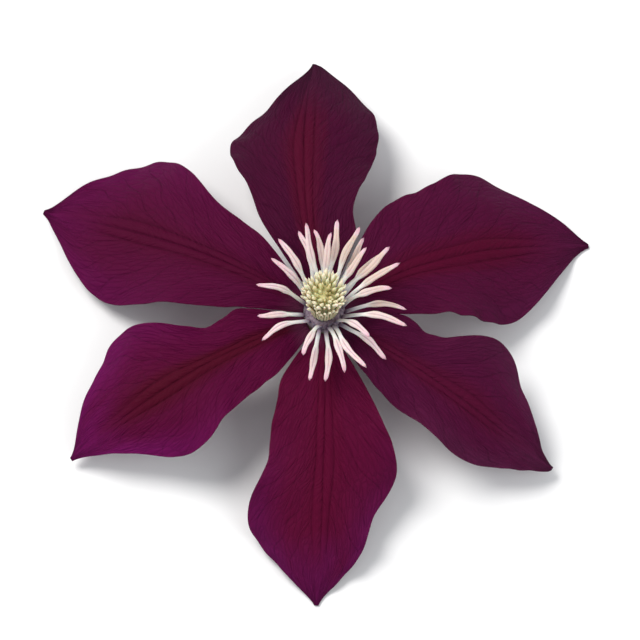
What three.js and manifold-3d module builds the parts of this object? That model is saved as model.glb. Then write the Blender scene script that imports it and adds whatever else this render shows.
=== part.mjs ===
// A single clematis flower, as picked: six wine-purple tepals spread in an open star, a ring of
// spidery stamens, a brush of pale styles in the middle, and a short cut stalk that bends away under
// the flower. It lies face up on a flat surface at z = 0, on the tips of three of its tepals.
// Millimetres, +Z up. +Y is the top of the flower as it is seen from in front.

import * as THREE from "three";
import { mergeVertices } from "three/addons/utils/BufferGeometryUtils.js";
import Module from "manifold-3d";

const wasm = await Module();
wasm.setup();

// ---- Driving dimensions -------------------------------------------------------------------------

const FLOWER_AXIS = [1.599, -0.74]; // where the flower's axis stands, from the middle of its outline
const ROOT_HEIGHT = 12; // of a tepal above the surface, at its root
const ROOT_RADIUS = 3.7; // from the axis to a tepal's root
const RECEPTACLE_RADIUS = 3.3;
const RIM_RADIUS = 4.4; // of the receptacle's swelling, which runs out under the tepals' roots
const SEAT_GAP = 0.3; // between a piece and what it sits on

const TEPAL_THICKNESS = 0.7;
const SHOULDER = 0.68; // of the greatest half width is kept near the root, where room allows
const SEAM = 0.25; // from a tepal's edge to the middle line between it and the next, near the root
const TIP_HALF_WIDTH = 0.4;
const WAVE_HEIGHT = 1.3; // of the margin's waves
const WAVE_COUNT = 2.6; // along one margin

// angle: where a tepal leaves the receptacle, in degrees from +X. reach: radius of its tip.
// sway: how far the tip bends sideways. point: how far the end narrows to a drawn-out point.
// rise and droop: how far the arch stands above the root near it, and above the tip near that.
// tip: height of the tip. twist: degrees about its own length. For each side of the mid-rib, half:
// the greatest half width, belly: the share of the length where it is, full: below 1 for a squarer
// outline and above 1 for a slimmer one, phase and ruffle: start and size of the margin's ruffles.
const TEPALS = [
  {
    name: "tepal_top",
    ...{ angle: 102.2, reach: 53.5, sway: -9.7, point: 0.61, rise: 6.2, droop: 8.6, tip: 3.4, twist: 3 },
    left: { half: 13.3, belly: 0.51, full: 1.24, phase: 0.7, ruffle: 0.13 },
    right: { half: 14.2, belly: 0.68, full: 0.55, phase: 0.07, ruffle: 0 },
  },
  {
    name: "tepal_upper_right",
    ...{ angle: 32, reach: 51.8, sway: -10.3, point: 0.79, rise: 5.6, droop: 6.3, tip: -0.2, twist: 4 },
    left: { half: 16.5, belly: 0.5, full: 0.63, phase: 0.56, ruffle: 0.09 },
    right: { half: 14.9, belly: 0.54, full: 0.98, phase: 0.93, ruffle: 0.02 },
  },
  {
    name: "tepal_lower_right",
    ...{ angle: -34.4, reach: 49.9, sway: 1.7, point: 0.59, rise: 6.6, droop: 8.8, tip: 2.5, twist: -5 },
    left: { half: 13, belly: 0.58, full: 1.42, phase: 0.77, ruffle: 0.13 },
    right: { half: 9.4, belly: 0.54, full: 0.55, phase: 0.51, ruffle: 0.07 },
  },
  {
    name: "tepal_bottom",
    ...{ angle: -89.1, reach: 52.9, sway: -2.3, point: 0.95, rise: 5.8, droop: 6.2, tip: -0.2, twist: 2 },
    left: { half: 14.3, belly: 0.35, full: 0.63, phase: 0.01, ruffle: 0.13 },
    right: { half: 12.9, belly: 0.65, full: 0.55, phase: 0.48, ruffle: 0.11 },
  },
  {
    name: "tepal_lower_left",
    ...{ angle: -155.9, reach: 52.9, sway: 3.5, point: 0, rise: 6.4, droop: 9, tip: 2.2, twist: 5 },
    left: { half: 12.8, belly: 0.53, full: 1.3, phase: 0.7, ruffle: 0.08 },
    right: { half: 14, belly: 0.62, full: 1.35, phase: 0.75, ruffle: 0.13 },
  },
  {
    name: "tepal_upper_left",
    ...{ angle: 149.2, reach: 58.2, sway: 4.9, point: 0.87, rise: 5.4, droop: 6.4, tip: -0.2, twist: -4 },
    left: { half: 14.9, belly: 0.56, full: 0.7, phase: 0.84, ruffle: 0 },
    right: { half: 16.5, belly: 0.66, full: 0.71, phase: 0.6, ruffle: 0.13 },
  },
];

// One row per whorl of stamens, from the outside in. radius and height: where the filaments are
// rooted, height from the band's foot. start and end: slope in degrees at the root and at the tip.
// turn: degrees that the whorl is turned about the axis. seed: picks its draws.
const WHORLS = [
  { count: 10, radius: 3.3, height: 1.1, length: 13, start: 47.3, end: 5, turn: 131.1, seed: 2862 },
  { count: 11, radius: 3.2, height: 1.6, length: 15, start: 63.5, end: 6.9, turn: 225, seed: 1659 },
  { count: 6, radius: 3.2, height: 2.0, length: 12.7, start: 70.7, end: 15, turn: 120.1, seed: 1414 },
];
const GAP_ANGLE = -117; // degrees from +X: around there the stamens stand furthest apart
const CROWDING = 0.39; // radians that they lean away from it
const LONG_ANGLE = -63; // degrees from +X: they are longest there, and shortest at 180
const FILAMENT_WIDTH = 0.7;
const ANTHER_WIDTH = 1.45;
const ANTHER_THICKNESS = 0.8;
const ANTHER_START = 0.48; // share of a stamen's length where the anther begins

const STYLE_COUNT = 34;
const STYLE_LENGTH = 9.5;
const STYLE_THICKNESS = 0.8;
const HEAD_RADIUS = 2.4; // of the carpels at their foot
const BRUSH_RADIUS = 4.2; // of the styles at their tips

const STALK_RADIUS = 1.0;
const STALK_BEND = 7.5; // radius of the bend under the flower
const STALK_RUN = 36; // length of the straight stretch along the surface

// ---- Helpers ------------------------------------------------------------------------------------

const UP = new THREE.Vector3(0, 0, 1);
const { degToRad, lerp, smoothstep, euclideanModulo } = THREE.MathUtils;

// A repeatable draw from -1 to 1 for piece number n. salt keeps the draws of one piece apart.
function draw(n, salt) {
  const x = Math.sin(n * 12.9898 + salt * 78.233) * 43758.5453;
  return 2 * (x - Math.floor(x)) - 1;
}

// A cubic Bezier curve through four numbers.
function bezier(s, a, b, c, d) {
  const r = 1 - s;
  return r * r * r * a + 3 * r * r * s * b + 3 * r * s * s * c + s * s * s * d;
}

// A closed geometry as a solid that can be joined and cut.
function solid(geometry) {
  geometry.deleteAttribute("normal");
  geometry.deleteAttribute("uv");
  const merged = mergeVertices(geometry, 1e-4);
  const index = Array.from(merged.index.array);
  const faces = [];
  for (let i = 0; i < index.length; i += 3) {
    const [a, b, c] = index.slice(i, i + 3);
    if (a !== b && b !== c && c !== a) faces.push(a, b, c);
  }
  return new wasm.Manifold(
    new wasm.Mesh({
      numProp: 3,
      vertProperties: merged.attributes.position.array,
      triVerts: new Uint32Array(faces),
    }),
  );
}

// A solid as a named mesh.
function meshOf(name, body, material) {
  const { vertProperties, triVerts } = body.getMesh();
  const geometry = new THREE.BufferGeometry();
  geometry.setAttribute("position", new THREE.BufferAttribute(vertProperties, 3));
  geometry.setIndex(new THREE.BufferAttribute(triVerts, 1));
  geometry.computeVertexNormals();
  const mesh = new THREE.Mesh(geometry, material);
  mesh.name = name;
  return mesh;
}

// A rod with few sides, bent along a curve: place(h, x, y) gives the point at share h of its length
// and at (x, y) of its unit section.
function rod(sides, steps, place) {
  const geometry = new THREE.CylinderGeometry(1, 1, 1, sides, steps, false, Math.PI / sides);
  const position = geometry.attributes.position;
  for (let i = 0; i < position.count; i++) {
    const p = place(position.getY(i) + 0.5, position.getX(i), -position.getZ(i));
    position.setXYZ(i, p.x, p.y, p.z);
  }
  return solid(geometry);
}

// A turned solid from a list of [radius, height].
function turned(outline, sides) {
  const points = outline.map(([radius, height]) => new THREE.Vector2(radius, height));
  return solid(new THREE.LatheGeometry(points, sides).rotateX(Math.PI / 2));
}

// ---- Tepals -------------------------------------------------------------------------------------
// Each is a pointed, arched blade with a ruffled margin. Its root butts against the receptacle, and
// near there its edges nearly meet those of the next tepals.

// Half the angle between a tepal and its neighbour on one side, in radians.
function halfWedge(tepal, side) {
  const place = TEPALS.indexOf(tepal);
  const neighbour = TEPALS[(place + (side === tepal.left ? 5 : 1)) % 6];
  const apart = euclideanModulo(neighbour.angle - tepal.angle, 360);
  return degToRad(Math.min(apart, 360 - apart) / 2);
}

// Half the width on one side at share s of the length. Near the root it stays in its own wedge.
function halfWidth(tepal, side, s, fade) {
  const turn = Math.PI * s ** (Math.log(0.5) / Math.log(side.belly));
  const blade = Math.max(Math.sin(turn), 0) ** side.full * (1 - tepal.point * s ** 9);
  const ruffle = 1 + side.ruffle * Math.sin(2 * Math.PI * (WAVE_COUNT * s + side.phase)) * fade;
  const shoulder = SHOULDER * side.half * (1 - smoothstep(s, 0.15, 0.4));
  const width = Math.hypot(side.half * blade * ruffle, shoulder) + TIP_HALF_WIDTH * s ** 9;
  const span = tepal.reach - ROOT_RADIUS;
  const radius = ROOT_RADIUS + bezier(s, 0, span * 0.33, span * 0.7, span);
  const lean = (side === tepal.left ? 1 : -1) * tepal.sway * s * s;
  const room = Math.tan(halfWedge(tepal, side)) * radius - lean - SEAM;
  return (width ** -6 + room ** -6) ** (-1 / 6);
}

// A point on the middle surface, at share s of the length and t from -1 (right) to 1 (left) across.
function tepalPoint(tepal, s, t) {
  const side = t > 0 ? tepal.left : tepal.right;
  const fade = smoothstep(s, 0.12, 0.4) * (1 - s ** 6);
  const span = tepal.reach - ROOT_RADIUS;
  const out = bezier(s, 0, span * 0.33, span * 0.7, span);
  const arch = bezier(s, ROOT_HEIGHT, ROOT_HEIGHT + tepal.rise, tepal.tip + tepal.droop, tepal.tip);
  const across = halfWidth(tepal, side, s, fade) * t;
  const yaw = Math.atan2(2 * tepal.sway * s, span);
  const tilt = Math.tan(degToRad(tepal.twist)) * s * across;
  const cup = (across / 12) ** 2 * (1.2 - 3.2 * smoothstep(s, 0.15, 0.8));
  const ripple = Math.cos(2 * Math.PI * (WAVE_COUNT * s + side.phase)) * fade;
  const wave = WAVE_HEIGHT * Math.abs(t) ** 2.5 * ripple;
  return new THREE.Vector3(
    ROOT_RADIUS + out - Math.sin(yaw) * across,
    tepal.sway * s * s + Math.cos(yaw) * across,
    arch + tilt + cup + wave,
  ).applyAxisAngle(UP, degToRad(tepal.angle));
}

// The blade as a closed solid, pressed flat where it touches the surface below. Its two faces are
// split into triangles alike.
function tepalSolid(tepal) {
  const along = 24;
  const across = 8;
  const step = 1e-3;
  const points = [];
  for (const face of [1, -1])
    for (let i = 0; i <= along; i++)
      for (let j = 0; j <= across; j++) {
        const s = i / along;
        const t = (2 * j) / across - 1;
        const near = Math.min(s, 1 - step);
        const here = tepalPoint(tepal, near, t);
        const lengthways = tepalPoint(tepal, near + step, t).sub(here);
        const sideways = tepalPoint(tepal, near, t + step).sub(here);
        const normal = lengthways.cross(sideways).normalize();
        points.push(tepalPoint(tepal, s, t).addScaledVector(normal, (face * TEPAL_THICKNESS) / 2));
      }
  const row = across + 1;
  const under = row * (along + 1);
  const faces = [];
  const quad = (a, b, c, d) => faces.push(a, b, c, a, c, d);
  for (let i = 0; i < along; i++) {
    for (let j = 0; j < across; j++) {
      const k = i * row + j;
      faces.push(k, k + row, k + row + 1, k, k + row + 1, k + 1);
      const u = k + under;
      faces.push(u, u + row + 1, u + row, u, u + 1, u + row + 1);
    }
    const right = i * row;
    const left = right + across;
    quad(right, under + right, under + right + row, right + row);
    quad(left, left + row, under + left + row, under + left);
  }
  for (let j = 0; j < across; j++) {
    const tip = along * row + j;
    quad(j, j + 1, under + j + 1, under + j);
    quad(tip, under + tip, under + tip + 1, tip + 1);
  }
  const geometry = new THREE.BufferGeometry().setFromPoints(points);
  geometry.setIndex(faces);
  const surface = new THREE.BoxGeometry(200, 200, 20).translate(0, 0, -10);
  return solid(geometry).subtract(solid(surface));
}

// ---- Stamens ------------------------------------------------------------------------------------
// A band round the receptacle carries three whorls of flat filaments, each with a long anther.

const BAND_FOOT = ROOT_HEIGHT + TEPAL_THICKNESS / 2 + SEAT_GAP;
const BAND_HEIGHT = 2.4;
const BOSS_RADIUS = 1.9; // of the receptacle's middle, inside the band

function stamenSolid(whorl, n, serial) {
  const share = (n + 0.46 * draw(serial, whorl.seed + 1)) / whorl.count;
  const even = share * 2 * Math.PI + degToRad(whorl.turn);
  const angle = even + CROWDING * Math.sin(even - degToRad(GAP_ANGLE));
  const shorter = 0.18 * Math.min(Math.cos(angle), 0) ** 2;
  const longer = 0.12 * Math.max(Math.cos(angle - degToRad(LONG_ANGLE)), 0);
  const own = 0.03 * draw(serial, whorl.seed + 2);
  const length = whorl.length * (1 - shorter) * (1 + longer) * (1 + own);
  const start = degToRad(whorl.start + 4.2 * draw(serial, whorl.seed + 3));
  const turn = degToRad(whorl.end - whorl.start);
  const curl = 1.3 * draw(serial, whorl.seed + 4);
  const hook = 1.34 * draw(serial, whorl.seed + 8);
  return rod(4, 7, (h, x, y) => {
    const slope = start + turn * h;
    const out = (length * (Math.sin(slope) - Math.sin(start))) / turn;
    const up = (-length * (Math.cos(slope) - Math.cos(start))) / turn;
    const anther = smoothstep(h, ANTHER_START - 0.08, ANTHER_START + 0.1);
    const point = (1 - 0.65 * smoothstep(h, 0.88, 1)) / Math.SQRT2;
    const width = lerp(FILAMENT_WIDTH, ANTHER_WIDTH, anther) * point;
    const thickness = lerp(FILAMENT_WIDTH, ANTHER_THICKNESS, anther) * point;
    return new THREE.Vector3(
      whorl.radius + out - Math.sin(slope) * y * thickness,
      x * width + curl * h * h + hook * Math.sin(Math.PI * h) * h,
      BAND_FOOT + whorl.height + up + Math.cos(slope) * y * thickness,
    ).applyAxisAngle(UP, angle);
  });
}

function stamens() {
  const inner = BOSS_RADIUS + SEAT_GAP;
  const outer = RECEPTACLE_RADIUS + 0.6;
  const top = BAND_FOOT + BAND_HEIGHT;
  const band = turned(
    [
      [inner, BAND_FOOT],
      [RECEPTACLE_RADIUS, BAND_FOOT],
      [outer, BAND_FOOT + 0.5],
      [outer, BAND_FOOT + 1.3],
      [inner + 1, top],
      [inner, top],
      [inner, BAND_FOOT],
    ],
    20,
  );
  const bodies = [band];
  for (const whorl of WHORLS)
    for (let n = 0; n < whorl.count; n++) bodies.push(stamenSolid(whorl, n, bodies.length));
  return wasm.Manifold.union(bodies);
}

// ---- Pistils ------------------------------------------------------------------------------------
// A head of small carpels, whose styles stand up in a flaring brush with a dimple in the middle.

const HEAD_FOOT = BAND_FOOT + BAND_HEIGHT + SEAT_GAP;

function styleSolid(n) {
  const share = Math.sqrt((n + 0.5) / STYLE_COUNT);
  const angle = n * Math.PI * (3 - Math.sqrt(5));
  const length = STYLE_LENGTH * (0.82 + 0.18 * share ** 2 + 0.04 * draw(n, 5));
  const flare = (BRUSH_RADIUS - HEAD_RADIUS) * (1 + 0.2 * draw(n, 6));
  return rod(4, 4, (h, x, y) => {
    const radius = share * (HEAD_RADIUS - 0.3 + flare * h ** 1.6);
    const thickness = (STYLE_THICKNESS * (1 - 0.25 * h ** 3)) / Math.SQRT2;
    const foot = HEAD_FOOT + 0.6;
    return new THREE.Vector3(radius + x * thickness, y * thickness, foot + length * h).applyAxisAngle(
      UP,
      angle,
    );
  });
}

function pistils() {
  const head = turned(
    [
      [0, HEAD_FOOT],
      [HEAD_RADIUS - 0.2, HEAD_FOOT],
      [HEAD_RADIUS, HEAD_FOOT + 1],
      [HEAD_RADIUS + 0.2, HEAD_FOOT + STYLE_LENGTH * 0.5],
      [HEAD_RADIUS, HEAD_FOOT + STYLE_LENGTH * 0.72],
      [0, HEAD_FOOT + STYLE_LENGTH * 0.78],
    ],
    12,
  );
  const bodies = [head];
  for (let n = 0; n < STYLE_COUNT; n++) bodies.push(styleSolid(n));
  return wasm.Manifold.union(bodies);
}

// ---- Stem ---------------------------------------------------------------------------------------
// The stalk lies along the surface below the bottom tepal, bends up and swells into the receptacle.

const STALK_LOW = STALK_RADIUS * Math.cos(Math.PI / 10); // height of its middle, on one flat side

// The stalk's centre line at distance d from its cut end: a run, a bend and a short upright.
function stalkPoint(d) {
  const past = d - STALK_RUN;
  if (past < 0) return { x: 3 * (past / STALK_RUN) ** 2, y: past - STALK_BEND, z: STALK_LOW, slope: 0 };
  const slope = Math.min(past / STALK_BEND, Math.PI / 2);
  const upright = past - STALK_BEND * slope;
  return {
    x: 0,
    y: STALK_BEND * (Math.sin(slope) - 1),
    z: STALK_LOW + STALK_BEND * (1 - Math.cos(slope)) + upright,
    slope,
  };
}

function stem() {
  const foot = ROOT_HEIGHT - TEPAL_THICKNESS / 2;
  const upright = foot - 0.8 - STALK_LOW - STALK_BEND;
  const length = STALK_RUN + (STALK_BEND * Math.PI) / 2 + upright;
  const stalk = rod(10, 26, (h, x, y) => {
    const { slope, ...middle } = stalkPoint(h * length);
    const radius = STALK_RADIUS * (1 + 0.7 * smoothstep(h, 0.92, 1));
    return new THREE.Vector3(
      middle.x - x * radius,
      middle.y - Math.sin(slope) * y * radius,
      middle.z + Math.cos(slope) * y * radius,
    );
  });
  const rim = foot - SEAT_GAP;
  const seat = BAND_FOOT - SEAT_GAP;
  const receptacle = turned(
    [
      [0, rim - 2],
      [1.6, rim - 1.8],
      [2.6, rim - 1.35],
      [RIM_RADIUS - 0.3, rim - 0.6],
      [RIM_RADIUS, rim - 0.2],
      [RIM_RADIUS - 0.2, rim],
      [RECEPTACLE_RADIUS, rim],
      [RECEPTACLE_RADIUS, seat],
      [BOSS_RADIUS, seat],
      [BOSS_RADIUS, HEAD_FOOT - SEAT_GAP],
      [0, HEAD_FOOT - SEAT_GAP],
    ],
    20,
  );
  return wasm.Manifold.union([stalk, receptacle]);
}

// ---- The flower ---------------------------------------------------------------------------------

const velvet = new THREE.MeshStandardMaterial({ color: 0x56103a, roughness: 0.7, metalness: 0 });
const anther = new THREE.MeshStandardMaterial({ color: 0xdcc6c6, roughness: 0.6, metalness: 0 });
const style = new THREE.MeshStandardMaterial({ color: 0xc8c18c, roughness: 0.6, metalness: 0 });
const green = new THREE.MeshStandardMaterial({ color: 0x6b6a3c, roughness: 0.6, metalness: 0 });

const flower = new THREE.Group();
for (const tepal of TEPALS) flower.add(meshOf(tepal.name, tepalSolid(tepal), velvet));
flower.add(meshOf("stamens", stamens(), anther));
flower.add(meshOf("pistils", pistils(), style));
flower.add(meshOf("stem", stem(), green));
flower.position.set(...FLOWER_AXIS, 0);

const part = new THREE.Group();
part.add(flower);
export default part;
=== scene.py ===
import math

import bpy
import numpy as np
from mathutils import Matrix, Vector


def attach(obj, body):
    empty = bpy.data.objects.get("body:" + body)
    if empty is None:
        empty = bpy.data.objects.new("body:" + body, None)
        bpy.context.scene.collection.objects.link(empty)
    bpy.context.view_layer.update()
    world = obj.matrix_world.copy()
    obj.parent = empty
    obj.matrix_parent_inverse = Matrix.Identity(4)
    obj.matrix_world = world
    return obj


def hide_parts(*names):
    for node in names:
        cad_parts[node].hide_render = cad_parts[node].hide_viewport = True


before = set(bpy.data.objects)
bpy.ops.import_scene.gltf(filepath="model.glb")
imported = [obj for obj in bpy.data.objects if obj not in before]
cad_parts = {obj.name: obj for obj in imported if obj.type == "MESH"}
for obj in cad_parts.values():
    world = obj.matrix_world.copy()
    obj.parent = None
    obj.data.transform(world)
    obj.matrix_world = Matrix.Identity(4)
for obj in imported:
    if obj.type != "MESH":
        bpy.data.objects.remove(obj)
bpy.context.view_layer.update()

# ---- The view -----------------------------------------------------------------------------------
# The flower lies face up on a pale sheet. A long lens looks down on it from the side of its bottom
# petal, 68 degrees above the surface.

VIEW_ELEVATION = math.radians(68)
VIEW_DISTANCE = 1.98
AIM = Vector((0.0008, 0.0, 0.008))
LENS_MM = 600
SENSOR_MM = 36
NEAREST = 0.01

camera_data = bpy.data.cameras.new("view")
camera_data.lens = LENS_MM
camera_data.sensor_width = SENSOR_MM
camera_data.clip_start = NEAREST
camera = bpy.data.objects.new("view", camera_data)
back = Vector((0, -math.cos(VIEW_ELEVATION), math.sin(VIEW_ELEVATION)))
camera.location = AIM + back * VIEW_DISTANCE
camera.rotation_euler = back.to_track_quat("Z", "Y").to_euler()
bpy.context.scene.collection.objects.link(camera)
bpy.context.scene.camera = camera

# ---- Tepals -------------------------------------------------------------------------------------
# Six thin, velvety petals that stand round the receptacle in an open star. Each is arched along
# its length, has three sunken ribs up its middle and a ruffled margin, and ends in a point.
# Lengths here are in millimetres and become metres in the mesh.

MM = 0.001
FLOWER_AXIS = (1.599, -0.74, 0.0)  # from the middle of the flower's outline
ROOT_HEIGHT = 12.0
ROOT_RADIUS = 3.7
SHOULDER = 0.68  # of the greatest half width is kept near the root, where room allows
SEAM = 0.25  # from an edge to the middle line between two tepals, near the root
TIP_HALF_WIDTH = 0.4
WAVE_HEIGHT = 1.3
WAVE_COUNT = 2.6  # along one margin
THICKNESS = 0.5
THIN_MARGIN = 0.35  # of the thickness is left at the margin
GRID_ACROSS = 90
GRID_ALONG = 180
RIB = 0.14  # share of the half width from the middle rib to the one beside it
RIB_WIDTH = 0.44
RIB_DEPTH = 0.26
BAR_HEIGHT = 0.1  # of the bar that the ribs are sunk in
PILLOW_HEIGHT = 0.1  # between two side veins
CRISP_HEIGHT = 0.28  # of the margin's finest waves
DIMPLE_HEIGHT = 0.16
PRESSED_HEIGHT = 0.3  # of a tip's middle surface, where it lies on the sheet
PRESSED_SOFTNESS = 0.05

# angle: where it leaves the receptacle. reach: radius of its tip. sway: sideways bend of the tip.
# point: how drawn out the end is. rise, droop, tip: the arch near the root, near the tip and the
# tip's own height. twist: degrees about its own length. Then, for each side of the mid-rib:
# greatest half width, the share of the length where it is, fullness of the outline, phase and size
# of the ruffles.
SIDE = ("half", "belly", "full", "phase", "ruffle")
TEPALS = {
    "top": dict(
        angle=102.2, reach=53.5, sway=-9.7, point=0.61, rise=6.2, droop=8.6, tip=3.4, twist=3,
        left=dict(zip(SIDE, (13.3, 0.51, 1.24, 0.7, 0.13))),
        right=dict(zip(SIDE, (14.2, 0.68, 0.55, 0.07, 0))),
    ),
    "upper_right": dict(
        angle=32, reach=51.8, sway=-10.3, point=0.79, rise=5.6, droop=6.3, tip=-0.2, twist=4,
        left=dict(zip(SIDE, (16.5, 0.5, 0.63, 0.56, 0.09))),
        right=dict(zip(SIDE, (14.9, 0.54, 0.98, 0.93, 0.02))),
    ),
    "lower_right": dict(
        angle=-34.4, reach=49.9, sway=1.7, point=0.59, rise=6.6, droop=8.8, tip=2.5, twist=-5,
        left=dict(zip(SIDE, (13, 0.58, 1.42, 0.77, 0.13))),
        right=dict(zip(SIDE, (9.4, 0.54, 0.55, 0.51, 0.07))),
    ),
    "bottom": dict(
        angle=-89.1, reach=52.9, sway=-2.3, point=0.95, rise=5.8, droop=6.2, tip=-0.2, twist=2,
        left=dict(zip(SIDE, (14.3, 0.35, 0.63, 0.01, 0.13))),
        right=dict(zip(SIDE, (12.9, 0.65, 0.55, 0.48, 0.11))),
    ),
    "lower_left": dict(
        angle=-155.9, reach=52.9, sway=3.5, point=0, rise=6.4, droop=9, tip=2.2, twist=5,
        left=dict(zip(SIDE, (12.8, 0.53, 1.3, 0.7, 0.08))),
        right=dict(zip(SIDE, (14, 0.62, 1.35, 0.75, 0.13))),
    ),
    "upper_left": dict(
        angle=149.2, reach=58.2, sway=4.9, point=0.87, rise=5.4, droop=6.4, tip=-0.2, twist=-4,
        left=dict(zip(SIDE, (14.9, 0.56, 0.7, 0.84, 0))),
        right=dict(zip(SIDE, (16.5, 0.66, 0.71, 0.6, 0.13))),
    ),
}


def bezier(s, a, b, c, d):
    """A cubic Bezier curve through four numbers."""
    r = 1 - s
    return r**3 * a + 3 * r * r * s * b + 3 * r * s * s * c + s**3 * d


def smooth(x, low, high):
    """Rises from 0 at low to 1 at high."""
    share = np.clip((x - low) / (high - low), 0, 1)
    return share * share * (3 - 2 * share)


def around_axis(x, y, z, angle):
    """Points turned about the flower's axis by an angle in radians."""
    turned_x = math.cos(angle) * x - math.sin(angle) * y
    turned_y = math.sin(angle) * x + math.cos(angle) * y
    return np.stack([turned_x, turned_y, z], -1)


def half_wedge(tepal, hand):
    """Half the angle to the next tepal, on the left for hand 1 and on the right for hand -1."""
    order = list(TEPALS.values())
    neighbour = order[(order.index(tepal) - hand) % len(order)]
    apart = (neighbour["angle"] - tepal["angle"]) % 360
    return math.radians(min(apart, 360 - apart) / 2)


def tepal_run(tepal, s):
    """Level distance from the root at share s of the length."""
    span = tepal["reach"] - ROOT_RADIUS
    return bezier(s, 0, span * 0.33, span * 0.7, span)


def wave_strength(s):
    """The margin's waves fade out at the root and at the tip."""
    return smooth(s, 0.12, 0.4) * (1 - s**6)


def half_width(tepal, hand, s):
    """Half the width on one side of the mid-rib. Near the root it stays in its own wedge."""
    side = tepal["left" if hand > 0 else "right"]
    turn = math.pi * s ** (math.log(0.5) / math.log(side["belly"]))
    blade = np.maximum(np.sin(turn), 0) ** side["full"] * (1 - tepal["point"] * s**9)
    wave = np.sin(2 * math.pi * (WAVE_COUNT * s + side["phase"]))
    ruffle = 1 + side["ruffle"] * wave * wave_strength(s)
    shoulder = SHOULDER * side["half"] * (1 - smooth(s, 0.15, 0.4))
    width = np.hypot(side["half"] * blade * ruffle, shoulder) + TIP_HALF_WIDTH * s**9
    middle_line = math.tan(half_wedge(tepal, hand)) * (ROOT_RADIUS + tepal_run(tepal, s))
    room = middle_line - hand * tepal["sway"] * s * s - SEAM
    return (width**-6 + room**-6) ** (-1 / 6)


def tepal_point(tepal, s, t):
    """The middle surface at share s of the length and t from -1 (right) to 1 (left) across."""
    arch = bezier(
        s, ROOT_HEIGHT, ROOT_HEIGHT + tepal["rise"], tepal["tip"] + tepal["droop"], tepal["tip"]
    )
    across = np.where(t > 0, half_width(tepal, 1, s), half_width(tepal, -1, s)) * t
    phase = np.where(t > 0, tepal["left"]["phase"], tepal["right"]["phase"])
    yaw = np.arctan2(2 * tepal["sway"] * s, tepal["reach"] - ROOT_RADIUS)
    tilt = math.tan(math.radians(tepal["twist"])) * s * across
    cup = (across / 12) ** 2 * (1.2 - 3.2 * smooth(s, 0.15, 0.8))
    ripple = np.cos(2 * math.pi * (WAVE_COUNT * s + phase)) * wave_strength(s)
    return around_axis(
        ROOT_RADIUS + tepal_run(tepal, s) - np.sin(yaw) * across,
        tepal["sway"] * s * s + np.cos(yaw) * across,
        arch + tilt + cup + WAVE_HEIGHT * np.abs(t) ** 2.5 * ripple,
        math.radians(tepal["angle"]),
    )


def side_vein_phase(s, t, aside, number, sine):
    """Grows by 2 pi from one side vein to the next. They climb from the ribs towards the margin."""
    climb = 60 * s - 24 * aside**0.5
    return climb + 0.9 * sine(23 * s + 5 * t + number) + 0.5 * sine(9 * t - 37 * s)


def fine_relief(tepal, number, s, t):
    """Height of the ribs, veins and crisped margin above the smooth blade."""
    half = (half_width(tepal, 1, s) + half_width(tepal, -1, s)) / 2
    aside = np.abs(t)
    body = smooth(s, 0.02, 0.12) * (1 - smooth(s, 0.72, 0.97))
    ribs = sum(np.exp(-(((t - place) * half / RIB_WIDTH) ** 2)) for place in (-RIB, 0.0, RIB))
    bar = np.exp(-((t / 0.2) ** 4))
    pillow = np.abs(np.sin(0.5 * side_vein_phase(s, t, aside, number, np.sin)))
    edge = smooth(aside, 0.72, 1.0) * smooth(s, 0.1, 0.3) * (1 - smooth(s, 0.9, 1.0))
    strength = 0.65 + 0.35 * np.sin(7 * s + 2.1 * number + 3 * np.sign(t))
    phase = 2 * math.pi * (9.5 * s + 0.25 * np.sin(11 * s + number))
    crisp = np.sin(phase + 2.4 * number + 2 * np.sign(t))
    dimple_olive_and_shade = np.sin(s * 17 + 4 * t + number) * np.sin(t * 7 - s * 6 + 1.7 * number)
    return (
        -RIB_DEPTH * ribs * body
        + BAR_HEIGHT * bar * body
        + PILLOW_HEIGHT * pillow * body * smooth(aside, RIB, 0.3)
        + CRISP_HEIGHT * edge * strength * crisp
        + DIMPLE_HEIGHT * dimple_olive_and_shade * body * (1 - edge)
    )


def pressed(height):
    """Heights that bend softly where they would have met the sheet, and stay above it."""
    above = height - PRESSED_HEIGHT
    return 0.5 * (height + PRESSED_HEIGHT + np.sqrt(above**2 + PRESSED_SOFTNESS))


def own_piece(name):
    """Name the mesh object that an operator has just made, and return it."""
    piece = bpy.context.object
    piece.name = name
    piece.data.name = name
    return piece


def vertices_of(piece):
    """The places of a mesh's vertices, one row each."""
    places = np.empty(len(piece.data.vertices) * 3)
    piece.data.vertices.foreach_get("co", places)
    return places.reshape(-1, 3)


def move_vertices(piece, places):
    """Put a mesh's vertices at new places, given in millimetres from the flower's axis."""
    in_metres = (places + FLOWER_AXIS) * MM
    piece.data.vertices.foreach_set("co", np.ascontiguousarray(in_metres).ravel())
    piece.data.update()


def pin_pattern(piece, across, along):
    """Store where each vertex lies on the real surface as the mesh's UV map."""
    corners = np.empty(len(piece.data.loops), dtype=np.int64)
    piece.data.loops.foreach_get("vertex_index", corners)
    flat = np.stack([across[corners], along[corners]], -1)
    layer = piece.data.uv_layers.active or piece.data.uv_layers.new(name="surface")
    layer.data.foreach_set("uv", flat.ravel())


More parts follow.
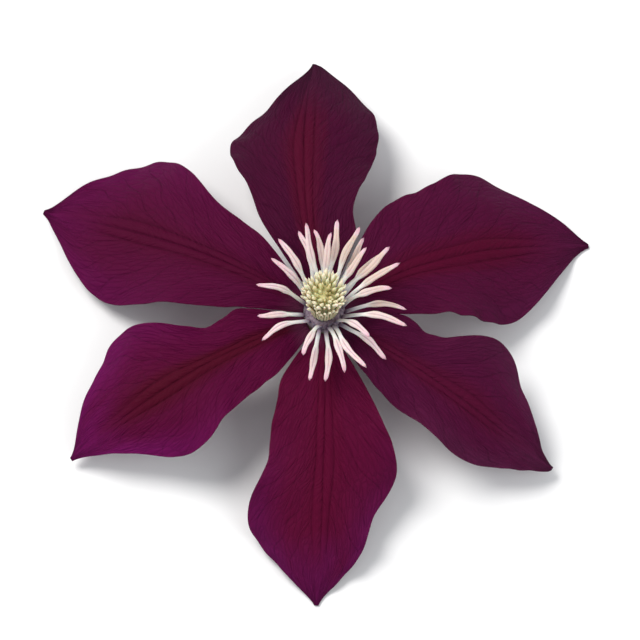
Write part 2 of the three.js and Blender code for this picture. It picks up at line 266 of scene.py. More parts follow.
def make_tepal(name, number, finishes):
    """A grid bent into the blade, whose flesh thins out towards the margin and the tip."""
    tepal = TEPALS[name]
    bpy.ops.object.select_all(action="DESELECT")
    bpy.ops.mesh.primitive_grid_add(x_subdivisions=GRID_ACROSS, y_subdivisions=GRID_ALONG, size=2)
    piece = own_piece("petal_" + name)
    flat = vertices_of(piece)
    # The rows of vertices stand closer at the mid-rib and at the margins.
    t = -(flat[:, 0] - 0.1 * np.sin(2 * math.pi * flat[:, 0]))
    s = flat[:, 1] * 0.5 + 0.5
    step = 1e-3
    near = np.minimum(s, 1 - step)
    inwards = np.where(t > 0, -1, 1)
    here = tepal_point(tepal, near, t)
    lengthways = tepal_point(tepal, near + step, t) - here
    sideways = (tepal_point(tepal, near, t + inwards * step) - here) * inwards[:, None]
    normal = np.cross(lengthways, sideways)
    normal /= np.linalg.norm(normal, axis=1)[:, None]
    places = tepal_point(tepal, s, t) + normal * fine_relief(tepal, number, s, t)[:, None]
    places[:, 2] = pressed(places[:, 2])
    move_vertices(piece, places)
    pin_pattern(piece, t * 0.5 + 0.5, s)
    for finish in finishes:
        piece.data.materials.append(finish)
    flesh = piece.vertex_groups.new(name="flesh")
    fullness = (1 - np.abs(t) ** 3) * (1 - 0.6 * s**4)
    for index, full in enumerate(fullness):
        flesh.add([index], float(THIN_MARGIN + (1 - THIN_MARGIN) * full), "REPLACE")
    thick = piece.modifiers.new("flesh", "SOLIDIFY")
    thick.thickness = THICKNESS * MM
    thick.offset = 0
    thick.vertex_group = "flesh"
    thick.material_offset = 1
    bpy.ops.object.modifier_apply(modifier="flesh")
    piece.vertex_groups.clear()
    bpy.ops.object.shade_smooth()
    return piece


class Wire:
    """A value inside a material, written in expressions like a number."""

    def __init__(self, tree, socket):
        self.tree = tree
        self.socket = socket

    def node(self, kind, settings=None, inputs=None, output=0):
        """Add a node: its type, its settings, then the values or links of its sockets."""
        node = self.tree.nodes.new("ShaderNode" + kind)
        for setting, value in (settings or {}).items():
            if setting == "stops":
                ramp = node.color_ramp
                while len(ramp.elements) < len(value):
                    ramp.elements.new(0.5)
                for stop, (place, colour) in zip(ramp.elements, value):
                    stop.position = place
                    stop.color = colour
            else:
                setattr(node, setting, value)
        for name, value in (inputs or {}).items():
            if isinstance(value, Wire):
                self.tree.links.new(value.socket, node.inputs[name])
            else:
                node.inputs[name].default_value = value
        return Wire(self.tree, node.outputs[output])

    def maths(self, operation, *values, clamp=False):
        """A Math node on wires and numbers."""
        settings = {"operation": operation, "use_clamp": clamp}
        return self.node("Math", settings, dict(enumerate(values)))

    def __add__(self, other):
        return self.maths("ADD", self, other)

    __radd__ = __add__

    def __sub__(self, other):
        return self.maths("SUBTRACT", self, other)

    def __rsub__(self, other):
        return self.maths("SUBTRACT", other, self)

    def __mul__(self, other):
        return self.maths("MULTIPLY", self, other)

    __rmul__ = __mul__

    def __pow__(self, other):
        return self.maths("POWER", self, other)

    def __abs__(self):
        return self.maths("ABSOLUTE", self)

    def sine(self):
        return self.maths("SINE", self)

    def cosine(self):
        return self.maths("COSINE", self)

    def most(self, other):
        return self.maths("MAXIMUM", self, other)

    def least(self, other):
        return self.maths("MINIMUM", self, other)

    def above(self, level, gain):
        """How far it is above a level, times a gain, kept between 0 and 1."""
        return self.maths("MULTIPLY", self - level, gain, clamp=True)

    def between(self, low, high):
        """0 at low and 1 at high, smoothly."""
        settings = {"interpolation_type": "SMOOTHSTEP"}
        inputs = {"Value": self, "From Min": low, "From Max": high}
        return self.node("MapRange", settings, inputs)


def new_material(name, constants):
    """A material, its shader with the constant sockets set, and its UV and object coordinates."""
    material = bpy.data.materials.new(name)
    material.use_nodes = True
    tree = material.node_tree
    shader = tree.nodes["Principled BSDF"]
    for socket, value in constants.items():
        shader.inputs[socket].default_value = value
    start = Wire(tree, None)
    surface = start.node("TexCoord", output="UV")
    place = start.node("TexCoord", output="Object")
    return material, shader, surface, place


def parts_of(vector):
    """The three numbers of a vector."""
    first = vector.node("SeparateXYZ", None, {0: vector})
    return [Wire(vector.tree, output) for output in first.socket.node.outputs]


def joined(x, y, z):
    """A vector from three numbers."""
    return x.node("CombineXYZ", None, {0: x, 1: y, 2: z})


def mixed(factor, first, second, blend="MIX"):
    """A colour between two colours."""
    wire = factor if isinstance(factor, Wire) else first
    settings = {"data_type": "RGBA", "blend_type": blend}
    return wire.node("Mix", settings, {0: factor, 6: first, 7: second}, output=2)


def tinted(colour, red, green, blue):
    """A colour with its channels multiplied."""
    return mixed(1.0, colour, (red, green, blue, 1), "MULTIPLY")


def noise(vector, detail, rough, scale=1.0):
    """Soft random patches, about 1 / scale apart."""
    inputs = {"Vector": vector, "Scale": scale, "Detail": detail, "Roughness": rough}
    return vector.node("TexNoise", None, inputs)


def finish_material(shader, colour, roughness, height, depth):
    """Link the colour, the roughness and a bump of the given depth in metres."""
    bump = height.node("Bump", None, {"Strength": 1.0, "Distance": depth, "Height": height})
    wires = {"Base Color": colour, "Roughness": roughness, "Normal": bump}
    for name, wire in wires.items():
        wire.tree.links.new(wire.socket, shader.inputs[name])


def rgb(red, green, blue):
    """A linear colour from the numbers 0 to 255 that a screen shows."""
    channels = (value / 255 for value in (red, green, blue))
    return (*(c / 12.92 if c <= 0.04045 else ((c + 0.055) / 1.055) ** 2.4 for c in channels), 1.0)


VELVET = {
    "Specular IOR Level": 0.035,
    "Sheen Weight": 0.015,
    "Sheen Roughness": 0.45,
    "Sheen Tint": rgb(200, 150, 190),
    "Subsurface Weight": 0.05,
    "Subsurface Radius": (1.0, 0.15, 0.35),
    "Subsurface Scale": 0.001,
}


def vein_pattern(s, t, number):
    """How much each spot belongs to a vein, and the small fields between the finest veins."""
    aside = abs(t)
    drift = noise(joined(t * 1.6, s * 3.2, number), 2, 0.5)
    away = abs(t + (drift - 0.5) * 0.05)
    ribs = (1 - away.between(0.0, 0.03)) + (1 - abs(away - RIB).between(0.0, 0.03)) * 0.85
    ribs = ribs * (1 - s.between(0.7, 0.95))
    phase = side_vein_phase(s, t, aside, number, Wire.sine)
    side_veins = 1 - abs((phase * 0.5).sine()).between(0.0, 0.16)
    side_veins = side_veins * aside.between(RIB, 0.2) * (1 - aside.between(0.8, 1.0) * 0.6)
    warp = noise(joined(t * 3, s * 7, number), 2, 0.5)
    net = joined(t * 9 + warp * 1.4, s * 31 - aside * 12 + warp * 2.4, number)
    settings = {"feature": "DISTANCE_TO_EDGE"}
    fields = net.node("TexVoronoi", settings, {"Vector": net, "Scale": 1.0})
    walls = (1 - fields.between(0.0, 0.09)) * aside.between(0.1, 0.24)
    return ribs, side_veins, walls, fields


def petal_face(name, number, heart, flank, margin):
    """The upper side: a redder bar up the middle, purpler margins, and fine dark veins."""
    material, shader, surface, place = new_material("petal_face_" + name, VELVET)
    u, s, _ = parts_of(surface)
    t = u * 2 - 1
    aside = abs(t)

    # The bar is uneven along its streaks, and the margin's tone runs in over the sides and the end.
    streaks = noise(joined(t * 9 + number * 3.7, s * 1.6, 0), 4, 0.6)
    cloud = noise(joined(t * 1.6 + number, s * 3.2, number), 3, 0.55)
    bar = (1 - (aside + (streaks - 0.5) * 0.3).between(0.08, 0.42)) * (1 - s.between(0.6, 1.0))
    sides = (aside + (cloud - 0.5) * 0.5).between(0.4, 1.0) * s.between(0.25, 0.85)
    end = (s + (cloud - 0.5) * 0.3).between(0.7, 1.0) * 0.9
    colour = mixed(bar, flank, heart)
    # The margin tone is the tepal's own purple with painted sheen in it, lighter and purpler on the
    # left tepals.
    colour = mixed(sides.most(end) * 0.85, colour, margin)

    # Veins darken it, and fine fibres and the very edge lighten it. The root is duller.
    ribs, side_veins, walls, fields = vein_pattern(s, t, number)
    veins = ribs * 0.4 + side_veins * 0.34 + walls * 0.2
    fibres = noise(joined(t * 80, s * 9, number), 2, 0.6)
    colour = mixed(veins.least(0.75), colour, tinted(colour, 0.4, 0.32, 0.4))
    lighter = tinted(colour, 1.35, 1.4, 1.35)
    colour = mixed(fibres.above(0.4, 1.1), colour, lighter)
    colour = mixed(aside.between(0.965, 1.0) * 0.35, colour, lighter)
    colour = mixed(1 - s.between(0.0, 0.1), colour, rgb(92, 40, 66))

    grain = noise(place, 2, 0.6, scale=5200)
    height = fields.between(0.0, 0.3) * 0.5 - veins * 0.9
    height = height + grain * 0.35 + cloud * 0.6 + fibres * 0.2
    roughness = 0.62 + (grain - 0.5) * 0.16 - veins * 0.05
    finish_material(shader, colour, roughness, height, 0.00016)
    return material


def petal_back():
    """The underside: paler and downy, with a broad grey-green bar along the ribs."""
    downy = {**VELVET, "Sheen Weight": 0.22, "Sheen Tint": rgb(235, 220, 230)}
    material, shader, surface, place = new_material("petal_back", downy)
    u, s, _ = parts_of(surface)
    t = u * 2 - 1
    aside = abs(t)
    streaks = noise(joined(t * 14, s * 1.5, 0), 4, 0.65)
    cloud = noise(joined(t * 2, s * 4, 0), 3, 0.6)
    bar = 1 - (aside + (streaks - 0.5) * 0.45).between(0.04, 0.34)
    bar = bar * (1 - s.between(0.6, 1.0))
    colour = mixed(cloud.between(0.3, 0.7), rgb(92, 34, 72), rgb(116, 52, 92))
    colour = mixed(streaks.between(0.4, 0.8) * 0.4, colour, rgb(136, 76, 112))
    colour = mixed(bar * 0.8, colour, rgb(122, 110, 92))
    colour = mixed(aside.between(0.8, 1.0) * 0.5, colour, rgb(88, 24, 66))
    colour = mixed((1 - s.between(0.0, 0.14)) * 0.7, colour, rgb(122, 112, 78))

    ribs, side_veins, walls, _ = vein_pattern(s, t, 0)
    colour = mixed(side_veins * 0.3 + walls * 0.2, colour, rgb(84, 30, 62))
    colour = mixed(ribs * 0.35, colour, rgb(146, 134, 112))

    grain = noise(place, 3, 0.7, scale=4200)
    height = ribs * 0.7 + side_veins * 0.8 + walls * 0.4 + grain * 0.9
    finish_material(shader, colour, 0.78 + (grain - 0.5) * 0.2, height, 0.0002)
    return material


# Per tepal: colours of the middle bar, of the flanks and of the margin. Between tepals they differ
# by painted light as well as by their own colour: the lighter, purpler margins of the left tepals
# and the greyer margin of the top tepal are painted sheen.
PETAL_TONES_WITH_PAINTED_LIGHT = {
    "top": (rgb(73, 9, 35), rgb(62, 9, 39), rgb(58, 19, 42)),
    "upper_right": (rgb(73, 7, 35), rgb(72, 11, 45), rgb(73, 18, 52)),
    "lower_right": (rgb(72, 10, 39), rgb(71, 12, 46), rgb(76, 26, 56)),
    "bottom": (rgb(80, 7, 39), rgb(81, 8, 43), rgb(84, 14, 66)),
    "lower_left": (rgb(68, 7, 28), rgb(77, 6, 45), rgb(98, 14, 78)),
    "upper_left": (rgb(69, 7, 37), rgb(74, 8, 45), rgb(85, 11, 62)),
}

back_finish = petal_back()
for number, name in enumerate(TEPALS):
    piece = make_tepal(name, number, (petal_face(name, number, *PETAL_TONES_WITH_PAINTED_LIGHT[name]), back_finish))
    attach(piece, "root")
    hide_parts("tepal_" + name)

# ---- Stamens ------------------------------------------------------------------------------------
# Three whorls of flat, pale filaments rooted in a band round the receptacle. Each ends in a long
# anther with two pollen sacs and a pointed tip. They grow outwards and then bend level.

# radius and height: where the filaments are rooted, height from the band's foot. length: of a
# stamen, before its draws. start and end: slope in degrees at the root and at the tip. turn: of
# the whorl, in degrees. seed: picks its draws.
WHORLS = (
    dict(count=10, radius=3.3, height=1.1, length=13, start=47.3, end=5, turn=131.1, seed=2862),
    dict(count=11, radius=3.2, height=1.6, length=15, start=63.5, end=6.9, turn=225, seed=1659),
    dict(count=6, radius=3.2, height=2.0, length=12.7, start=70.7, end=15, turn=120.1, seed=1414),
)
GAP_ANGLE = math.radians(-117)  # around there they stand furthest apart
CROWDING = 0.39  # radians that they lean away from it
LONG_ANGLE = math.radians(-63)  # they are longest there, and shortest towards -X
LONGER = 0.12  # share of the length
SHORTER = 0.18
FILAMENT_WIDTH = 0.8
FILAMENT_THICKNESS = 0.44
ANTHER_START = 0.48  # share of the length where the anther begins
ANTHER_WIDENING = 0.6
ANTHER_THICKENING = 0.42
GROOVE_WIDTH = 0.34  # of the anther's half width
STAMEN_AROUND = 14
STAMEN_ALONG = 22

# The most that a draw changes: the place in the whorl as a share of the spacing, the length as a
# share of itself, the slope in degrees, and sideways bends in millimetres. ROLL is in radians.
PLACE_STRAY = 0.46
LENGTH_STRAY = 0.03
SLOPE_STRAY = 4.2
CURL = 1.3
BOW = 1.34
SNAKE = 0.42
ROLL = 0.9

BAND_FOOT = 12.65
BAND_OUTLINE = (
    (2.25, 0.05),
    (3.2, 0.0),
    (3.8, 0.45),
    (3.85, 1.3),
    (3.5, 2.0),
    (3.0, 2.45),
    (2.5, 2.55),
    (2.25, 2.4),
    (2.25, 0.05),
)


def draw(number, salt):
    """A repeatable draw from -1 to 1. salt keeps the draws of one piece apart."""
    x = math.sin(number * 12.9898 + salt * 78.233) * 43758.5453
    return 2 * (x - math.floor(x)) - 1


def rolled(around, along, place):
    """A grid rolled into a rod: place(h, turn) gives its points in millimetres."""
    bpy.ops.object.select_all(action="DESELECT")
    bpy.ops.mesh.primitive_grid_add(x_subdivisions=around, y_subdivisions=along, size=2)
    piece = bpy.context.object
    flat = vertices_of(piece)
    h = flat[:, 1] * 0.5 + 0.5
    move_vertices(piece, place(h, flat[:, 0] * math.pi))
    pin_pattern(piece, flat[:, 0] * 0.5 + 0.5, h)
    return piece


def turned(outline, foot, around, rows, ripple=None):
    """A turned piece, from pairs of radius and height above its foot.

    It has some rows of faces from each pair to the next, and ripple makes it less round.
    """
    radii, heights = np.array(outline).T
    corners = np.arange(len(outline))
    stretches = len(outline) - 1

    def place(h, turn):
        radius = np.interp(h * stretches, corners, radii)
        height = np.interp(h * stretches, corners, heights)
        if ripple:
            radius = radius * (1 + ripple(turn, radius, height))
        return np.stack([radius * np.cos(turn), radius * np.sin(turn), foot + height], -1)

    return rolled(around, stretches * rows, place)


def closed_ends(h):
    """0 at the two ends of a rod and 1 between them."""
    return np.minimum(1, np.minimum(h, 1 - h) * 1e3)


def join_all(pieces, name):
    """Join pieces into one, close their seams and turn every face outwards."""
    bpy.ops.object.select_all(action="DESELECT")
    for piece in pieces:
        piece.select_set(True)
    bpy.context.view_layer.objects.active = pieces[0]
    bpy.ops.object.join()
    piece = own_piece(name)
    bpy.ops.object.mode_set(mode="EDIT")
    bpy.ops.mesh.select_all(action="SELECT")
    bpy.ops.mesh.remove_doubles(threshold=1e-6)
    bpy.ops.mesh.normals_make_consistent(inside=False)
    bpy.ops.object.mode_set(mode="OBJECT")
    bpy.ops.object.shade_smooth()
    return piece


def make_stamen(whorl, n, serial):
    """Stamen n of a whorl. serial counts all stamens and picks its draws."""
    seed = whorl["seed"]
    share = (n + PLACE_STRAY * draw(serial, seed + 1)) / whorl["count"]
    even = share * 2 * math.pi + math.radians(whorl["turn"])
    angle = even + CROWDING * math.sin(even - GAP_ANGLE)
    shorter = SHORTER * min(math.cos(angle), 0) ** 2
    longer = LONGER * max(math.cos(angle - LONG_ANGLE), 0)
    own = LENGTH_STRAY * draw(serial, seed + 2)
    length = whorl["length"] * (1 - shorter) * (1 + longer) * (1 + own)
    start = math.radians(whorl["start"] + SLOPE_STRAY * draw(serial, seed + 3))
    bend = math.radians(whorl["end"] - whorl["start"])
    curl = CURL * draw(serial, seed + 4)
    roll = ROLL * draw(serial, 7)
    bow = BOW * draw(serial, seed + 8)
    snake = SNAKE * draw(serial, 31)

    def place(h, turn):
        slope = start + bend * h
        out = length * (np.sin(slope) - math.sin(start)) / bend
        up = -length * (np.cos(slope) - math.cos(start)) / bend
        anther = smooth(h, ANTHER_START - 0.08, ANTHER_START + 0.1)
        point = np.sqrt(1 - smooth(h, 0.9, 1.02) ** 2)
        taper = (1 - 0.42 * smooth(h, 0.6, 1.0)) * point * closed_ends(h)
        swell = 1 + 0.08 * np.sin(h * 23 + serial) * anther
        width = (FILAMENT_WIDTH - 0.08 * h + anther * ANTHER_WIDENING) * taper * swell
        thickness = (FILAMENT_THICKNESS - 0.1 * h + anther * ANTHER_THICKENING) * taper
        groove = 1 - 0.5 * anther * np.exp(-((np.cos(turn) / GROOVE_WIDTH) ** 2))
        side = np.cos(turn) * width / 2
        lift = np.sin(turn) * groove * thickness / 2
        twist = roll * anther * (h - 0.3)
        side, lift = (
            side * np.cos(twist) - lift * np.sin(twist),
            side * np.sin(twist) + lift * np.cos(twist),
        )
        across = side + curl * h * h + bow * np.sin(math.pi * h) * h
        return around_axis(
            whorl["radius"] + out - np.sin(slope) * lift,
            across + snake * np.sin(2.6 * math.pi * h) * h,
            BAND_FOOT + whorl["height"] + up + np.cos(slope) * lift,
            angle,
        )

    return rolled(STAMEN_AROUND, STAMEN_ALONG, place)


def from_axis(place):
    """The x and y of a spot from the flower's axis, its height and its distance from the axis."""
    x, y, z = parts_of(place)
    x = x - FLOWER_AXIS[0] * MM
    y = y - FLOWER_AXIS[1] * MM
    return x, y, z, (x**2 + y**2) ** 0.5


def stamen_finish():
    """Violet at the root, lilac-white filament, then pinkish cream anthers with a mauve seam. Round
    the brush's foot the violet is deepened with painted shade.
    """
    constants = {"Specular IOR Level": 0.3, "Subsurface Weight": 0.15, "Subsurface Scale": 0.0008}
    material, shader, surface, place = new_material("stamen_tissue", constants)
    u, h, _ = parts_of(surface)
    stops = [
        (0.0, rgb(84, 46, 80)),
        (0.12, rgb(146, 132, 154)),
        (0.26, rgb(214, 216, 219)),
        (0.44, rgb(234, 232, 228)),
        (0.58, rgb(233, 212, 213)),
        (0.86, rgb(230, 201, 206)),
        (1.0, rgb(198, 146, 166)),
    ]
    colour = h.node("ValToRGB", {"stops": stops}, {"Fac": h})
    anther = h.between(0.44, 0.54) * (1 - h.between(0.84, 0.92))
    side = (u * (2 * math.pi) - math.pi).cosine()
    seam = (1 - abs(side).between(0.06, 0.3)) * anther
    colour = mixed(seam * 0.5, colour, rgb(156, 104, 130))
    freckles = noise(place, 3, 0.65, scale=1500)
    colour = mixed(freckles.above(0.45, 1.2), colour, rgb(242, 228, 214))

    # The older anthers, at the upper right, have turned beige.
    x, y, z, radius = from_axis(place)
    clump = noise(place, 1, 0.5, scale=210)
    older = (x * 0.75 + y * 0.66).between(0.003, 0.010) * 0.5 + clump.between(0.5, 0.66) * 0.14
    colour = mixed(older * anther, colour, rgb(208, 188, 160))

    # Round the foot of the brush the stamens and band turn violet, darker lower down: their own
    # violet deepened with painted shade under the brush and between the stamens.
    foot = (1 - radius.between(0.0036, 0.0046)) * (1 - z.between(0.0150, 0.0160))
    violet_and_shade = mixed(freckles.between(0.4, 0.6), rgb(74, 46, 78), rgb(128, 112, 126))
    violet_and_shade = mixed(1 - z.between(0.0132, 0.0146), violet_and_shade, rgb(70, 34, 60))
    colour = mixed(foot * 0.9, colour, violet_and_shade)

    grain = noise(place, 2, 0.6, scale=6500)
    height = grain * (anther * 0.8 + 0.2)
    finish_material(shader, colour, 0.6 + (grain - 0.5) * 0.3, height, 0.00012)
    return material


stamens = [turned(BAND_OUTLINE, BAND_FOOT, around=48, rows=3)]
for whorl in WHORLS:
    for n in range(whorl["count"]):
        stamens.append(make_stamen(whorl, n, len(stamens)))
stamen_ring = join_all(stamens, "stamen_ring")
stamen_ring.data.materials.append(stamen_finish())
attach(stamen_ring, "root")
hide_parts("stamens")

# ---- Pistils ------------------------------------------------------------------------------------
# A tight brush of cream styles on a head of small carpels. The outer ones curve outwards and the
# middle ones are shorter, which leaves a dimple. Silky hairs stand between them and round the head.

HEAD_FOOT = 15.35
HEAD_RADIUS = 2.4
HEAD_OUTLINE = ((0.0, 0.0), (2.3, -0.1), (2.45, 0.5), (2.5, 4.6), (2.3, 6.4), (0.0, 7.0))
BRUSH_RADIUS = 4.2
STYLE_LENGTH = 10.1
STYLE_COUNT = 34
STYLE_THICKNESS = 0.7
STYLE_FOOT = 1.0  # above the head's foot
STYLE_AROUND = 6
STYLE_ALONG = 9
SILKY_COUNT = 46  # hairs between the styles
SILKY_THICKNESS = 0.44
SKIRT_COUNT = 40  # hairs round the head
SKIRT_THICKNESS = 0.5
SKIRT_FOOT = -0.1
OUTWARD_BOW = 0.3
DIMPLE_ASIDE = 0.7  # from the axis to the dimple's middle


def style_plan(n):
    """Style or hair n: its place as a share of the head's radius, its foot and its thickness."""
    if n < STYLE_COUNT:
        return math.sqrt((n + 0.5) / STYLE_COUNT), STYLE_FOOT, STYLE_THICKNESS
    if n < STYLE_COUNT + SILKY_COUNT:
        spread = math.sqrt((n - STYLE_COUNT + 0.5) / SILKY_COUNT)
        return 0.2 + 0.8 * spread, STYLE_FOOT, SILKY_THICKNESS
    return 1.0, SKIRT_FOOT, SKIRT_THICKNESS


def make_style(n):
    """A style or hair with a swollen end. Each stands a golden angle on from the one before."""
    share, foot, thick = style_plan(n)
    root = share * (HEAD_RADIUS - 0.3)
    end = root + share * (BRUSH_RADIUS - HEAD_RADIUS) * (1 + 0.18 * draw(n, 6))
    length = STYLE_LENGTH * (0.83 + 0.16 * share**2 + 0.04 * draw(n, 5))
    if n >= STYLE_COUNT + SILKY_COUNT:
        root = HEAD_RADIUS + 0.1
        length *= 0.86 + 0.12 * draw(n, 12)
    bow = OUTWARD_BOW * share
    shifted = n + 0.01  # so that the first one doesn't stand exactly on +X
    angle = shifted * math.pi * (3 - math.sqrt(5))
    stray = 0.25 * draw(shifted, 9)

    def place(h, turn):
        radius = root + (end - root) * h**1.7 + bow * h**4
        point = np.sqrt(1 - smooth(h, 0.9, 1.03) ** 2)
        swell = 1 - 0.25 * h + 0.35 * smooth(h, 0.7, 0.92)
        width = thick * swell * point * closed_ends(h) / 2
        return around_axis(
            radius + np.cos(turn) * width,
            np.sin(turn) * width + 0.1 * np.sin(9 * h + shifted) + stray * h * h,
            HEAD_FOOT + foot + (length - foot) * h - bow * 0.5 * h**5,
            angle,
        )

    return rolled(STYLE_AROUND, STYLE_ALONG, place)


def carpel_ripple(turn, radius, height):
    """The carpels stand out of the head as slanting rows."""
    return 0.04 * np.sin(turn * 21 + height * 3)


def pistil_finish():
    """Silky cream, paler towards the tips, yellow-green in the middle, and a darker olive spot at
    the dimple that is partly its own colour and partly painted shade of the hollow.
    """
    constants = {"Specular IOR Level": 0.25, "Subsurface Weight": 0.2, "Subsurface Scale": 0.0008}
    material, shader, surface, place = new_material("style_silk", constants)
    _, h, _ = parts_of(surface)
    x, y, _, radius = from_axis(place)
    stops = [
        (0.0, rgb(216, 208, 184)),
        (0.4, rgb(216, 208, 170)),
        (0.75, rgb(228, 219, 184)),
        (1.0, rgb(240, 232, 206)),
    ]
    colour = h.node("ValToRGB", {"stops": stops}, {"Fac": h})
    heart = 1 - radius.between(0.0012, 0.0036)
    colour = mixed(heart * 0.8, colour, rgb(212, 205, 142))
    # A darker olive spot just beside the axis: partly the styles' own colour, partly painted shade
    # in the dimple's hollow.
    from_dimple = ((x - DIMPLE_ASIDE * MM) ** 2 + y**2) ** 0.5
    dimple_olive_and_shade = 1 - from_dimple.between(0.0003, 0.0015)
    colour = mixed(dimple_olive_and_shade * 0.6, colour, rgb(146, 134, 64))
    flecks = noise(place, 3, 0.6, scale=1800)
    colour = mixed(flecks.above(0.5, 1.4), colour, rgb(246, 238, 214))
    grain = noise(place, 2, 0.6, scale=7000)
    finish_material(shader, colour, 0.55 + grain * 0.2, grain, 0.0001)
    return material


styles = [turned(HEAD_OUTLINE, HEAD_FOOT, around=84, rows=4, ripple=carpel_ripple)]
for n in range(STYLE_COUNT + SILKY_COUNT + SKIRT_COUNT):
    styles.append(make_style(n))
style_brush = join_all(styles, "style_brush")
style_brush.data.materials.append(pistil_finish())
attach(style_brush, "root")
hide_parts("pistils")

# ---- Stalk --------------------------------------------------------------------------------------
# A thin, ribbed and downy stalk, cut square. It lies on the surface under the bottom tepal, bends
# up and swells into the green receptacle that everything else is rooted in.

STALK_RADIUS = 1.0
STALK_FLARE = 0.7  # that its top swells by, inside the receptacle
STALK_BEND = 7.5  # radius of the bend under the flower
STALK_RUN = 36  # length along the sheet
STALK_SWAY = 3  # sideways, from the bend to the cut end
STALK_LOW = STALK_RADIUS * math.cos(math.pi / 10)  # height of its middle along the sheet
STALK_AROUND = 36
STALK_RINGS = 112
FLAT_HEIGHT = 0.03  # of its pressed underside above the sheet
RECEPTACLE_FOOT = 11.65  # height of the tepals' undersides at their roots
RECEPTACLE_OUTLINE = (
    (0.0, -2.3),
    (1.6, -2.15),
    (2.6, -1.7),
    (3.65, -1.15),
    (4.2, -0.8),
    (4.42, -0.5),
    (4.2, -0.3),
    (3.5, -0.2),
    (3.28, 0.1),
    (3.28, 0.65),
    (2.9, 0.7),
    (1.88, 0.7),
    (1.88, 3.3),
    (0.0, 3.36),
)
HAIR_COUNT = 420
HAIR_TURN = 2.39996  # the golden angle
HAIR_LENGTH = 0.65
HAIR_RADIUS = 0.022
HAIR_TIP_RADIUS = 0.004


def make_stalk():
    """The stalk, from its cut end to its top inside the receptacle."""
    upright = RECEPTACLE_FOOT - 0.8 - STALK_LOW - STALK_BEND
    length = STALK_RUN + STALK_BEND * math.pi / 2 + upright
    steps = STALK_RINGS - 2

    def place(h, turn):
        # The first three rings lie on the cut end, and the others share out the length.
        ring = h * STALK_RINGS
        past = np.clip(ring - 2, 0, steps) / steps * length - STALK_RUN
        slope = np.clip(past / STALK_BEND, 0, math.pi / 2)
        rest = np.maximum(past - STALK_BEND * math.pi / 2, 0)
        run = np.minimum(past, 0)
        closed = np.interp(ring, (0, 1, 2, STALK_RINGS - 1, STALK_RINGS), (0, 0.9, 1, 1, 0))
        ribs = 1 - 0.045 * (1 + np.cos(turn * 6)) + 0.02 * np.sin(h * 60) * np.cos(turn)
        radius = STALK_RADIUS * (1 + STALK_FLARE * smooth(h, 0.92, 1)) * ribs * closed
        side = np.cos(turn) * radius
        lift = np.maximum(np.sin(turn) * radius, FLAT_HEIGHT - STALK_LOW)
        return np.stack(
            [
                STALK_SWAY * (run / STALK_RUN) ** 2 + side,
                STALK_BEND * (np.sin(slope) - 1) + run - np.sin(slope) * lift,
                STALK_LOW + STALK_BEND * (1 - np.cos(slope)) + rest + np.cos(slope) * lift,
            ],
            -1,
        )

    return rolled(STALK_AROUND, STALK_RINGS, place)


def rim_lobes(turn, radius, height):
    """Shallow lobes round the rim that runs out under the tepals."""
    rim = smooth(radius, 2.0, 4.4) * (height < 0)
    return 0.03 * rim * np.cos(turn * 12 + 0.6 * np.sin(turn * 3))


def make_down():
    """Short silky hairs on the stalk: one hair is modelled, and copied all over it."""
    bpy.ops.object.select_all(action="DESELECT")
    bpy.ops.mesh.primitive_cone_add(
        vertices=3, radius1=HAIR_RADIUS, radius2=HAIR_TIP_RADIUS, depth=1
    )
    hair = bpy.context.object
    hair_places = vertices_of(hair) + (0, 0, 0.5)
    hairs = [hair]
    for n in range(1, HAIR_COUNT):
        bpy.ops.object.select_all(action="DESELECT")
        hair.select_set(True)
        bpy.context.view_layer.objects.active = hair
        bpy.ops.object.duplicate()
        hairs.append(bpy.context.object)
    for n, copy in enumerate(hairs):
        run = STALK_RUN * ((n + 0.5) / HAIR_COUNT - 1)
        out = np.array([math.cos(n * HAIR_TURN), 0.0, math.sin(n * HAIR_TURN)])
        if out[2] < -0.55:  # it would stick into the sheet
            out[2] = -out[2]
        lean = np.array([0.0, 0.5 + 0.3 * draw(n, 21), 0.0])
        length = HAIR_LENGTH + 0.2 * draw(n, 22)
        root = np.array([STALK_SWAY * (run / STALK_RUN) ** 2, run - STALK_BEND, STALK_LOW])
        along = (out + lean) * length
        across = np.cross(along, (0.3, 1.0, 0.2))
        across /= np.linalg.norm(across)
        third = np.cross(along, across) / length
        bent = hair_places @ np.stack([across, third, along])
        move_vertices(copy, root + out * (STALK_RADIUS * 0.88) + bent)
    return hairs


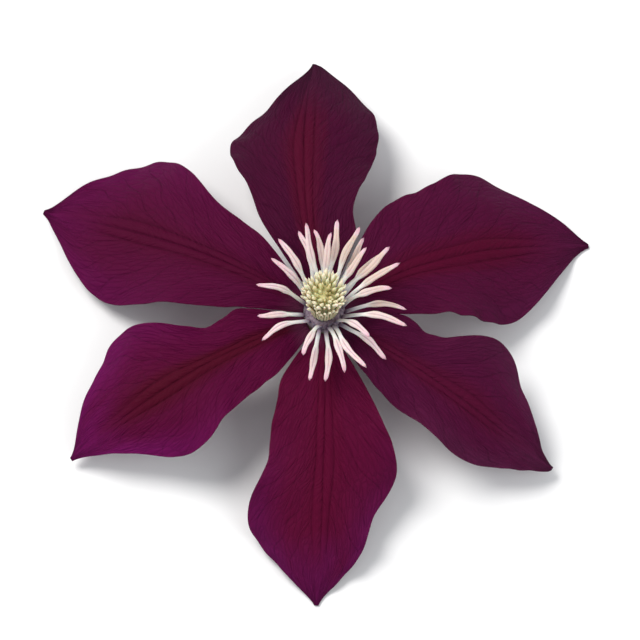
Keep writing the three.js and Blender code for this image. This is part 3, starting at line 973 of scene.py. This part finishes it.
def stalk_finish():
    """Green, flushed with brown in patches, paler along its streaks and on its cut end."""
    constants = {"Specular IOR Level": 0.35, "Sheen Weight": 0.25, "Sheen Roughness": 0.6}
    material, shader, surface, place = new_material("downy_stalk", constants)
    u, h, _ = parts_of(surface)
    cloud = noise(place, 3, 0.6, scale=160)
    streaks = noise(joined(u * 30, h * 6, 0), 3, 0.6)
    colour = mixed(cloud.between(0.35, 0.65), rgb(98, 104, 58), rgb(104, 72, 58))
    colour = mixed(streaks * 0.5, colour, rgb(122, 118, 76))
    colour = mixed(h.between(0.9, 1.0), colour, rgb(116, 124, 66))
    cut = 1 - h.between(1.1 / STALK_RINGS, 1.9 / STALK_RINGS)
    colour = mixed(cut * (1 - cloud * 0.3), colour, rgb(176, 182, 122))
    grain = noise(place, 3, 0.65, scale=3800)
    finish_material(shader, colour, 0.6 + grain * 0.15, grain + streaks * 0.5, 0.00015)
    return material


stalk_pieces = [
    make_stalk(),
    turned(RECEPTACLE_OUTLINE, RECEPTACLE_FOOT, around=96, rows=3, ripple=rim_lobes),
]
stalk = join_all(stalk_pieces + make_down(), "downy_stalk")
stalk.data.materials.append(stalk_finish())
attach(stalk, "root")
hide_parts("stem")

# ---- The surface below, and the light -----------------------------------------------------------
# A plain, nearly white sheet under soft studio light: a large lamp from the upper left, a weaker
# one from the right and an even pale surround.

SHEET_SIZE = 3
PALE_SHEET = {"Base Color": (0.86, 0.86, 0.86, 1), "Roughness": 0.9, "Specular IOR Level": 0.1}
SURROUND_COLOUR = (0.95, 0.97, 1.0, 1)
SURROUND_STRENGTH = 0.55

bpy.ops.object.select_all(action="DESELECT")
bpy.ops.mesh.primitive_plane_add(size=SHEET_SIZE, location=(0, 0, 0))
sheet = own_piece("floor")
sheet.data.materials.append(new_material("pale_sheet", PALE_SHEET)[0])


def soft_lamp(name, place, size, power, colour):
    """A round lamp that shines from its place towards the flower."""
    data = bpy.data.lights.new(name, "AREA")
    data.shape = "DISK"
    data.size = size
    data.energy = power
    data.color = colour
    lamp = bpy.data.objects.new(name, data)
    lamp.location = place
    lamp.rotation_euler = Vector(place).to_track_quat("Z", "Y").to_euler()
    bpy.context.scene.collection.objects.link(lamp)


soft_lamp("key", (-0.42, 0.28, 0.75), 0.5, 7.0, (1.0, 0.98, 0.96))
soft_lamp("fill", (0.6, -0.35, 0.55), 0.7, 2.4, (0.96, 0.98, 1.0))

world = bpy.data.worlds.new("surround")
world.use_nodes = True
world.node_tree.nodes["Background"].inputs["Color"].default_value = SURROUND_COLOUR
world.node_tree.nodes["Background"].inputs["Strength"].default_value = SURROUND_STRENGTH
bpy.context.scene.world = world
bpy.context.scene.view_settings.view_transform = "Standard"
